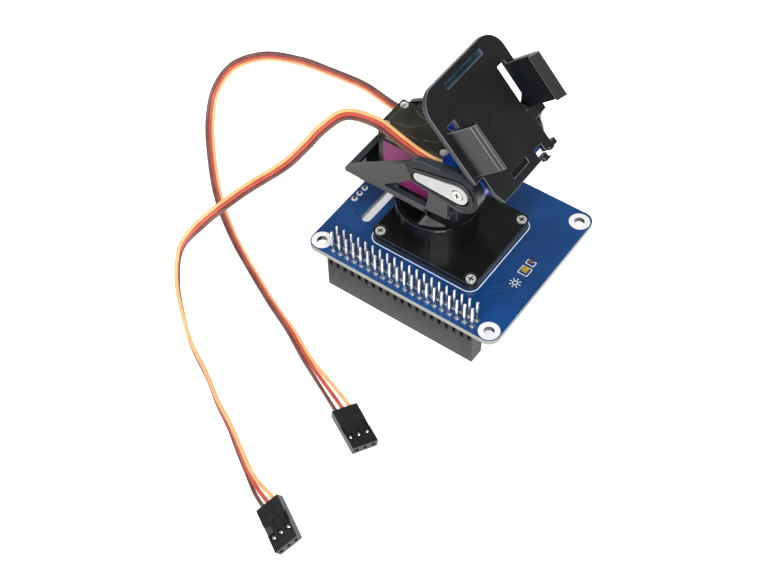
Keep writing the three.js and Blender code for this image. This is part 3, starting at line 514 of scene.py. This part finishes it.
# a plug's contacts, which show as flattened domes
CONTACT_RADIUS = 0.62 * MM
CONTACT_STRETCH = 1.2
CONTACT_FLATTENING = 0.65
CONTACT_FORWARD = 2.72 * MM
CONTACT_HEIGHT = 0.78 * MM


def smooth_route(points, step):
    """Points every step along a centripetal Catmull-Rom curve through the route."""
    ends = [points[0] * 2 - points[1], *points, points[-1] * 2 - points[-2]]
    dense = []
    for p0, p1, p2, p3 in zip(ends, ends[1:], ends[2:], ends[3:]):
        t1 = math.sqrt((p1 - p0).length)
        t2 = t1 + math.sqrt((p2 - p1).length)
        t3 = t2 + math.sqrt((p3 - p2).length)
        for i in range(SAMPLES_PER_STRETCH):
            t = t1 + (t2 - t1) * i / SAMPLES_PER_STRETCH
            a1 = p0 * ((t1 - t) / t1) + p1 * (t / t1)
            a2 = p1 * ((t2 - t) / (t2 - t1)) + p2 * ((t - t1) / (t2 - t1))
            a3 = p2 * ((t3 - t) / (t3 - t2)) + p3 * ((t - t2) / (t3 - t2))
            b1 = a1 * ((t2 - t) / t2) + a2 * (t / t2)
            b2 = a2 * ((t3 - t) / (t3 - t1)) + a3 * ((t - t1) / (t3 - t1))
            dense.append(b1 * ((t2 - t) / (t2 - t1)) + b2 * ((t - t1) / (t2 - t1)))
    dense.append(points[-1])
    even = [dense[0]]
    for point in dense[1:-1]:
        if (point - even[-1]).length >= step:
            even.append(point)
    if (dense[-1] - even[-1]).length < SHORTEST_STEP * step:
        even.pop()
    even.append(dense[-1])
    return even


def path_length(path):
    return sum((b - a).length for a, b in zip(path, path[1:]))


def blend_value(stops, t):
    """A value that eases from stop to stop, each given as (place along, value)."""
    for (t0, v0), (t1, v1) in zip(stops, stops[1:]):
        if t <= t1:
            k = (t - t0) / (t1 - t0)
            return v0 + (v1 - v0) * k * k * (3 - 2 * k)
    return stops[-1][1]


def add_wire(builder, line, look_index):
    """A round wire along a line of points, closed at both ends."""
    rings = []
    normal = Vector((0, 0, 1))
    for i, point in enumerate(line):
        along = (line[min(i + 1, len(line) - 1)] - line[max(i - 1, 0)]).normalized()
        normal = (normal - along * normal.dot(along)).normalized()
        side = along.cross(normal)
        rings.append([builder.verts.new(point + (normal * math.cos(a) + side * math.sin(a)) * WIRE_RADIUS)
                      for a in (2 * math.pi * k / WIRE_SIDES for k in range(WIRE_SIDES))])
    faces = []
    for a, b in zip(rings, rings[1:]):
        for i in range(WIRE_SIDES):
            j = (i + 1) % WIRE_SIDES
            faces.append(builder.faces.new((a[i], b[i], b[j], a[j])))
    faces.append(builder.faces.new(rings[0]))
    faces.append(builder.faces.new(rings[-1][::-1]))
    for face in faces:
        face.material_index = look_index


def wire_lines(path, rolls, fan):
    """The three wires' own lines: side by side across the path, fanning out over its last stretch."""
    fan_length, fan_spread = fan
    total = path_length(path)
    lines = [[], [], []]
    done = 0
    for i, point in enumerate(path):
        if i:
            done += (point - path[i - 1]).length
        along = (path[min(i + 1, len(path) - 1)] - path[max(i - 1, 0)]).normalized()
        lift = min(1, max(0, (point.z - FLAT_HEIGHT) / FACING_HEIGHT))
        facing = (Vector((0, 0, 1)) * (1 - lift) + TO_CAMERA * lift).normalized()
        facing = (facing - along * facing.dot(along)).normalized()
        right = along.cross(facing)
        roll = math.radians(blend_value(rolls, done / total))
        across = right * math.cos(roll) + facing * math.sin(roll)
        spread = max(0, 1 - (total - done) / fan_length) if fan_length else 0
        gap = 1 + (fan_spread - 1) * spread * spread * (3 - 2 * spread)
        sway = SWAY * spread * math.sin(done / SWAY_LENGTH)
        places = [point + across * offset * 2 * WIRE_RADIUS * gap
                  for offset in (1 + sway, sway * MIDDLE_SWAY, -1)]
        rise = max(0, WIRE_RADIUS + FLOOR_GAP - min(place.z for place in places))
        for line, place in zip(lines, places):
            line.append(place + Vector((0, 0, rise)))
    return lines


def make_lead(name, node, points, rolls, fan, on_it=()):
    """A ribbon of three wires along the route, made in place and riding on no body."""
    path = smooth_route(points, ROUTE_STEP)
    builder = bmesh.new()
    for index, line in enumerate(wire_lines(path, rolls, fan)):
        add_wire(builder, line, index)
    piece = piece_from(builder, name, None, [BROWN_WIRE, RED_WIRE, ORANGE_WIRE], 60)
    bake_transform(piece)
    if node:
        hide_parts(node)


def make_plug(name):
    """The three-pin plug, with its contacts showing in the windows on its top."""
    middle, turn, roll = PLUG_PLACES[name]
    place = (Matrix.Translation(above(*middle)) @ Matrix.Rotation(math.radians(turn), 4, "Z")
             @ Matrix.Rotation(math.radians(roll), 4, "X"))
    body = refined(name, "board", [PLUG_PLASTIC], 0.12)
    builder = bmesh.new()
    for row in (-1, 0, 1):
        made = bmesh.ops.create_uvsphere(builder, u_segments=16, v_segments=10, radius=CONTACT_RADIUS)
        for vert in made["verts"]:
            vert.co = Vector((vert.co.x * CONTACT_STRETCH + CONTACT_FORWARD, vert.co.y + row * PIN_PITCH,
                              vert.co.z * CONTACT_FLATTENING + CONTACT_HEIGHT))
    bmesh.ops.transform(builder, matrix=place, verts=builder.verts)
    contacts = piece_from(builder, name + "_contacts", "board", [SOLDER], 60)
    return [body, contacts]


def make_leads():
    pan = [above(*p) for p in PAN_LEAD_ROUTE]
    tilt = [above(*p) for p in TILT_LEAD_ROUTE]
    make_lead("pan_lead_wires", "pan_lead", pan, PAN_ROLLS, PAN_FAN,
              make_plug("pan_plug"))
    make_lead("tilt_lead_head_wires", None, tilt[:TILT_LEAD_SPLIT + 1], TILT_HEAD_ROLLS, TILT_HEAD_FAN)
    make_lead("tilt_lead_wires", "tilt_lead", tilt[TILT_LEAD_SPLIT:], TILT_ROLLS, TILT_FAN,
              make_plug("tilt_plug"))


make_leads()


# ---------------------------------------------------------------- circuit board

PRINT_HEIGHT = 0.012
PRINT_THICKNESS = 0.03 * MM
PRINT_WIDTH = 0.22
CORNER_HOLES = [(x, y) for x in (-29, 29) for y in (0, 49)]
CORNER_HOLE_REACH = 1.7 * MM
RING_OUTER = 3.15 * MM
RING_INNER = 1.55 * MM
TRACE_WIDTH = 0.34 * MM
TRACE_THICKNESS = 0.02 * MM


def board_look_index(face):
    """Lacquer on the board's two faces, bare fibre round its edge, plating darkened with painted shade in
    its corner holes.
    """
    if abs(face.normal.z) > 0.5:
        return 0
    middle = face.calc_center_median()
    corner_hole = any(math.hypot(middle.x - x * MM, middle.y - y * MM) < CORNER_HOLE_REACH
                      for x, y in CORNER_HOLES)
    return 2 if corner_hole else 1


def make_board():
    refined("circuit_board", "board", [MASK, EDGE, PLATED_HOLE_SHADE], 0, choose=board_look_index)
    make_printing()
    make_traces()
    make_solder()


def make_printing():
    """The white print: rings round the corner holes, outlines of the base and parts, and the sun mark."""
    builder = bmesh.new()
    for x, y in CORNER_HOLES:
        centre = above(x, y, PRINT_HEIGHT)
        add_band(builder, circle(centre, RING_OUTER, 48), circle(centre, RING_INNER, 48), PRINT_THICKNESS)
    add_band(builder, rounded_loop(-18.5, 18.5, 7.8, 40.8, 3.4, PRINT_HEIGHT),
             rounded_loop(-18.22, 18.22, 8.08, 40.52, 3.15, PRINT_HEIGHT), PRINT_THICKNESS)
    for x0, x1, y0, y1 in ((24.1, 27.4, 22.3, 25.6), (24.2, 27.1, 26.4, 28.3)):
        inner = (x0 + PRINT_WIDTH, x1 - PRINT_WIDTH, y0 + PRINT_WIDTH, y1 - PRINT_WIDTH)
        add_band(builder, rounded_loop(x0, x1, y0, y1, 0.3, PRINT_HEIGHT),
                 rounded_loop(*inner, 0.2, PRINT_HEIGHT), PRINT_THICKNESS)
    add_sun(builder, 25.8, 18.6)
    printing = piece_from(builder, "board_printing", "board", [PRINT_WHITE])


def add_sun(builder, x, y):
    """A plain sun mark, the general sign for a light sensor."""
    centre = above(x, y, PRINT_HEIGHT)
    add_band(builder, circle(centre, 0.85 * MM, 24), circle(centre, 0.6 * MM, 24), PRINT_THICKNESS)
    rays = 8
    for i in range(rays):
        turn = 2 * math.pi * i / rays
        ray = Vector((math.cos(turn), math.sin(turn), 0))
        add_strip(builder, [centre + ray * 1.15 * MM, centre + ray * 1.75 * MM], 0.26 * MM, PRINT_THICKNESS)


TRACES = [
    [(26.2, 21.8), (26.2, 16.2), (22, 12), (21.4, 8.6)],
    [(24.6, 21.9), (24.6, 17), (20.6, 13), (20.6, 9.4)],
    [(27.4, 26.8), (29.8, 24.4), (29.8, 14), (24.2, 7.2), (21.6, 4.2)],
    [(28, 22.4), (28.8, 21.6), (28.8, 15), (22.8, 8.4), (19, 4.2)],
    [(-21, 4.6), (-21, 8.4), (-27, 14.4), (-29.4, 16.6)],
    [(-18.6, 4.6), (-18.6, 6.2), (-26.6, 12), (-28.2, 19.4)],
    [(14, 42), (19.4, 42), (23.6, 37.8), (23.6, 31)],
]


def make_traces():
    """Copper tracks that stand a little proud under the lacquer."""
    builder = bmesh.new()
    for track in TRACES:
        add_strip(builder, [above(x, y, PRINT_HEIGHT) for x, y in track], TRACE_WIDTH, TRACE_THICKNESS)
    traces = piece_from(builder, "board_traces", "board", [TRACE])


HEADER_PINS = [((column - 9.5) * 2.54, row * 1.27) for column in range(20) for row in (-1, 1)]
LIGHT_PINS = [(-30.8, y) for y in (18.45, 21.05, 23.65)]
PIN_FILLET = [(0, 0), (0.84, 0), (0.82, 0.06), (0.62, 0.2), (0.5, 0.5), (0.42, 0.95), (0, 1.0)]
LIGHT_PIN_DOME = [(0, 0), (0.36, 0), (0.3, 0.22), (0, 0.3)]
LIGHT_PIN_PAD = [(0, 0), (0.98, 0), (0.94, 0.06), (0.4, 0.12), (0, 0.13)]
DOME_LIFT = 0.04


def make_solder():
    """A fillet of solder round the foot of each header pin, and a pad and a dome on each light pin."""
    builder = bmesh.new()
    for x, y in HEADER_PINS:
        add_turned(builder, above(x, y, PRINT_HEIGHT), PIN_FILLET, 16)
    for x, y in LIGHT_PINS:
        add_turned(builder, above(x, y, PRINT_HEIGHT + DOME_LIFT), LIGHT_PIN_DOME, 16)
    solder = piece_from(builder, "pin_solder", "board", [SOLDER], 50)
    builder = bmesh.new()
    for x, y in LIGHT_PINS:
        add_turned(builder, above(x, y, PRINT_HEIGHT), LIGHT_PIN_PAD, 24)
    pads = piece_from(builder, "light_pin_pads", "board", [TINNED])


PIN_LENGTH = 8.2 * MM
BOARD_THICKNESS = 1.6 * MM
BLOCK_MARGIN = 0.25 * MM
PIN_TOP_MARGIN = 0.01 * MM
PIN_POINT = 0.45 * MM
PIN_POINT_INSET = 0.16 * MM
NOTCH_START = 0.1 * MM
NOTCH_END = 1.4 * MM
NOTCH_DEPTH = 4 * MM


def make_header():
    """The socket block with painted shade in its notches, and its long pins with their pressed points."""
    low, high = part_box("gpio_header")
    front, tip = low.y, high.z
    block_top = tip - PIN_LENGTH - BOARD_THICKNESS - BLOCK_MARGIN
    builder = cleaned_copy("gpio_header")
    tops = [face for face in builder.faces if face.calc_center_median().z > tip - PIN_TOP_MARGIN]
    for face in tops:
        for vert in face.verts:
            vert.co.z -= PIN_POINT
    bmesh.ops.inset_individual(builder, faces=tops, thickness=PIN_POINT_INSET, depth=PIN_POINT)
    for face in builder.faces:
        middle = face.calc_center_median()
        set_back = front + NOTCH_START < middle.y < front + NOTCH_END
        in_notch = set_back and middle.z > block_top - NOTCH_DEPTH
        # faces in the notches take the painted shade
        face.material_index = 1 if middle.z > block_top else 2 if in_notch else 0
    header = piece_from(builder, "gpio_header_finish", None, [HEADER_PLASTIC, PIN_METAL, RECESS_SHADE])
    bevel = header.modifiers.new("edges", "BEVEL")
    bevel.width = 0.07 * MM
    bevel.segments = 1
    bevel.limit_method = "ANGLE"
    bevel.angle_limit = math.radians(40)
    apply_modifiers(header)
    shade(header, 30)
    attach(header, "board")
    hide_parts("gpio_header")


# ---------------------------------------------------------------- everything else

RECESS_START = 0.03 * MM
RECESS_END = 0.6 * MM
RECESS_REACH = 1.15 * MM


def screw(node, body, outward, bevel_mm=0.08):
    """A steel screw whose driver recess is painted dark as shade; outward is the way its head faces."""
    low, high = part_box(node)
    outward = Vector(outward)
    middle = (low + high) / 2
    head = middle + outward * (high - middle).dot(Vector(abs(part) for part in outward))

    def look_index(face):
        away = face.calc_center_median() - head
        depth = -away.dot(outward)
        aside = (away + outward * depth).length
        return 1 if RECESS_START < depth < RECESS_END and aside < RECESS_REACH else 0

    refined(node, body, [STEEL, RECESS_SHADE], bevel_mm, choose=look_index)


# the flat pad on the outside of the cup, seen from the cup's foot on the pan axis
CUP_FOOT = above(-5, 24.3, 2.4)
PAD_TURN = math.radians(-53)
PAD_DISTANCE = 11.4 * MM
PAD_HALF_WIDTH = 3 * MM
PAD_HEIGHT = 8.6 * MM


def on_cup_pad(edge):
    """Whether an edge belongs to the cup's pad."""
    away = (edge.verts[0].co + edge.verts[1].co) / 2 - CUP_FOOT
    out = away.x * math.cos(PAD_TURN) + away.y * math.sin(PAD_TURN)
    aside = away.y * math.cos(PAD_TURN) - away.x * math.sin(PAD_TURN)
    return out > PAD_DISTANCE and abs(aside) < PAD_HALF_WIDTH and 0 < away.z < PAD_HEIGHT


PIN_FACE_AREA = 6e-6
PIN_FACE_REACH = 2.6 * MM


def connector_look_index(face):
    """A small connector's pins have long thin faces, and its housing doesn't."""
    middle = face.calc_center_median()
    reach = max((vert.co - middle).length for vert in face.verts)
    return 1 if face.calc_area() < PIN_FACE_AREA and reach > PIN_FACE_REACH else 0


def make_fixed_parts():
    refined("pan_base", "board", [BASE_NYLON], 0.17, edge_highlight_look=NYLON_EDGE_HIGHLIGHT, skip=on_cup_pad)
    for i in range(1, 5):
        screw(f"base_screw_{i}", "board", (0, 0, 1))
        refined(f"base_nut_{i}", "board", [STEEL], 0.1)
    refined("light_sensor", "board", [SENSOR_RESIN], 0.1)
    refined("sensor_capacitor", "board", [CERAMIC, SOLDER], 0.05,
            choose=lambda face: 1 if abs(face.normal.x) > 0.5 else 0)
    refined("controller_chip", "board", [CHIP_RESIN], 0.08)
    refined("voltage_regulator", "board", [CHIP_RESIN], 0.08)
    for node in ("light_header", "pan_servo_header", "tilt_servo_header"):
        refined(node, "board", [HEADER_PLASTIC, PIN_METAL], 0.06, choose=connector_look_index)
    refined("pan_horn", "board", [HORN_PLASTIC], 0.1)
    dress("pan_horn_screw", STEEL)
    dress("pan_output_gear", BRASS)


def make_servo(name, body, cover, case, gear_case):
    """A servo's three housings with the looks given, its screws and its insides."""
    refined(f"{name}_servo_cover", body, [cover], 0.3, 3)
    refined(f"{name}_servo_case", body, [case], 0.22)
    refined(f"{name}_servo_gear_case", body, [gear_case], 0.3, 3)
    for i in range(1, 5):
        refined(f"{name}_servo_screw_{i}", body, [STEEL], 0.1)
    dress(f"{name}_servo_motor", STEEL)
    dress(f"{name}_servo_potentiometer", CHIP_RESIN)
    dress(f"{name}_servo_control_board", GREEN_BOARD)


# what shows through the smoked cover, in millimetres: the control board's rim, then three wires
COVER_TOP = 37.01
DEPTH_LINES = [
    [(-19.6, 29.2), (-19.6, 19.6), (-9, 19.6)],
    [(-17.6, 21.4), (-13.4, 22.2), (-10.6, 25.2), (-10, 28.4)],
    [(-15.8, 28.6), (-12.4, 27.2), (-8, 27.6)],
    [(-7.4, 20.4), (-4, 21.6), (-2.2, 24.2)],
]
COVER_FRONT = 18.2
EDGE_LINE = [(-19.5, 24.9), (-19.5, 31.6)]
EDGE_LINE_WIDTH = 0.4
EDGE_LINE_THICKNESS = 0.04


def add_front_strip(builder, start, end, width, thickness, plane):
    """A thin strip between two points (x, z) on an upright face, proud of it towards the front."""
    half = width / 2
    (x0, z0), (x1, z1) = start, end
    along = Vector((x1 - x0, 0, z1 - z0)).normalized()
    across = Vector((-along.z, 0, along.x)) * half
    corners = [Vector((x0, 0, z0)) - along * half + across, Vector((x1, 0, z1)) + along * half + across,
               Vector((x1, 0, z1)) + along * half - across, Vector((x0, 0, z0)) - along * half - across]
    low = [builder.verts.new(above(c.x, plane, c.z)) for c in corners]
    high = [builder.verts.new(above(c.x, plane - thickness, c.z)) for c in corners]
    builder.faces.new(low)
    builder.faces.new(high[::-1])
    for i in range(4):
        j = (i + 1) % 4
        builder.faces.new((low[i], high[i], high[j], low[j]))


def make_servo_depths():
    """Paler shapes that show through the pan servo's smoked cover, as thin relief on it."""
    builder = bmesh.new()
    for line in DEPTH_LINES:
        add_strip(builder, [above(x, y, COVER_TOP) for x, y in line], 0.38 * MM, 0.03 * MM)
    depths = piece_from(builder, "pan_servo_depths", "pan_head", [SMOKED_INNER])
    builder = bmesh.new()
    add_front_strip(builder, *EDGE_LINE, EDGE_LINE_WIDTH, EDGE_LINE_THICKNESS, COVER_FRONT)
    seam = piece_from(builder, "pan_servo_edge_light", "pan_head", [SMOKED_INNER])


# the housing round the tilt horn: its left side, and its lower edge that slopes down to the right
HOUSING_BOUNDS = (
    (above(-3.8, 0, 37.5), Vector((1, 0, 0.4))),
    (above(-1.4, 0, 35.3), Vector((0.17, 0, 1))),
)


NECK_LEDGE = above(0, 0, 11).z
LEDGE_MARGIN = 0.2 * MM
WALL_TOPS_FROM = above(0, 0, 22).z


def on_horn_housing(point):
    return all((point - place).dot(normal) > 0 for place, normal in HOUSING_BOUNDS)


def yoke_look_index(face):
    """Looks of their own: a painted reflection on the neck's ledge inside the cup, a painted sheen on the
    walls' tops and painted shade on the horn's housing.
    """
    middle = face.calc_center_median()
    if face.normal.z > 0.9 and abs(middle.z - NECK_LEDGE) < LEDGE_MARGIN:
        return 1
    if face.normal.y < -0.9 and on_horn_housing(middle):
        return 3
    return 2 if face.normal.z > 0.75 and middle.z > WALL_TOPS_FROM else 0


TILT_AXIS = above(12.1, 24.3, 38.4)
REST_TILT = math.radians(43)

# the groove near the plate's top edge, in millimetres from the tilt axis
GROOVE_FLOOR_OUT = 7.95
GROOVE_SIDES = (-5.6, 10.8)
GROOVE_UP = (24.7, 26.5)


def plate_look_index(face):
    """The floor and walls of the groove near the plate's top edge get a paler look than its face: a painted
    reflection.
    """
    away = (face.calc_center_median() - TILT_AXIS) / MM
    out = away.x * math.cos(REST_TILT) + away.z * math.sin(REST_TILT)
    up = away.z * math.cos(REST_TILT) - away.x * math.sin(REST_TILT)
    across = GROOVE_SIDES[0] < away.y < GROOVE_SIDES[1]
    return 1 if out < GROOVE_FLOOR_OUT and across and GROOVE_UP[0] < up < GROOVE_UP[1] else 0


def make_pan_head():
    for node in ("yoke_left", "yoke_right"):
        # the yoke's ledge, wall tops and horn housing take painted reflection, sheen and shade
        refined(node, "pan_head", [NYLON, LEDGE_REFLECTION_NYLON, NYLON_TOP_SHEEN, HOUSING_SHADE_NYLON], 0.17,
                choose=yoke_look_index, edge_highlight_look=NYLON_EDGE_HIGHLIGHT, cuts=HOUSING_BOUNDS)
    for i in (1, 2):
        screw(f"yoke_screw_{i}", "pan_head", (0, 1, 0))
    make_servo("pan", "pan_head", SMOKED, CASE_PLASTIC, SMOKED)
    dress("pan_servo_label", LABEL)
    make_servo_depths()
    refined("tilt_horn", "pan_head", [HORN_PLASTIC], 0.12)
    screw("tilt_horn_screw", "pan_head", (0, -1, 0))
    dress("tilt_output_gear", BRASS)


def make_tilt_head():
    refined("camera_plate", "tilt_head", [PLATE_NYLON, GROOVE_REFLECTION_NYLON], 0.2, choose=plate_look_index,
            edge_highlight_look=NYLON_EDGE_HIGHLIGHT)
    make_servo("tilt", "tilt_head", BLUE_CLEAR, BLUE_CLEAR, BLUE_CLEAR)
    screw("pivot_screw", "tilt_head", (0, 1, 0), 0)
    screw("tilt_servo_mounting_screw", "tilt_head", (0, -1, 0), 0)


make_board()
make_header()
make_fixed_parts()
make_pan_head()
make_tilt_head()


# ---------------------------------------------------------------- floor and lights

FLOOR_HALF_SIZE = 2.5
LIGHT_AIM = (0, HEAD_Y, 0.03)
WORLD_STRENGTH = 0.2


def make_floor():
    builder = bmesh.new()
    bmesh.ops.create_grid(builder, x_segments=1, y_segments=1, size=FLOOR_HALF_SIZE)
    floor = piece_from(builder, "floor", None, [FLOOR])


def softbox(name, place, width, height, watts):
    data = bpy.data.lights.new(name, "AREA")
    data.shape = "RECTANGLE"
    data.size = width
    data.size_y = height
    data.energy = watts
    light = bpy.data.objects.new(name, data)
    light.location = place
    light.rotation_euler = (Vector(LIGHT_AIM) - Vector(place)).to_track_quat("-Z", "Y").to_euler()
    bpy.context.collection.objects.link(light)


def make_lights():
    softbox("key_softbox", (0.4, -0.48, 1.0), 0.9, 0.9, 27)
    softbox("side_softbox", (0.7, -0.55, 0.4), 0.5, 0.4, 0.6)
    world = bpy.data.worlds.new("studio")
    world.use_nodes = True
    sky = world.node_tree.nodes["Background"].inputs
    sky["Color"].default_value = (1, 1, 1, 1)
    sky["Strength"].default_value = WORLD_STRENGTH
    bpy.context.scene.world = world
    bpy.context.scene.view_settings.view_transform = "Standard"


make_floor()
make_lights()
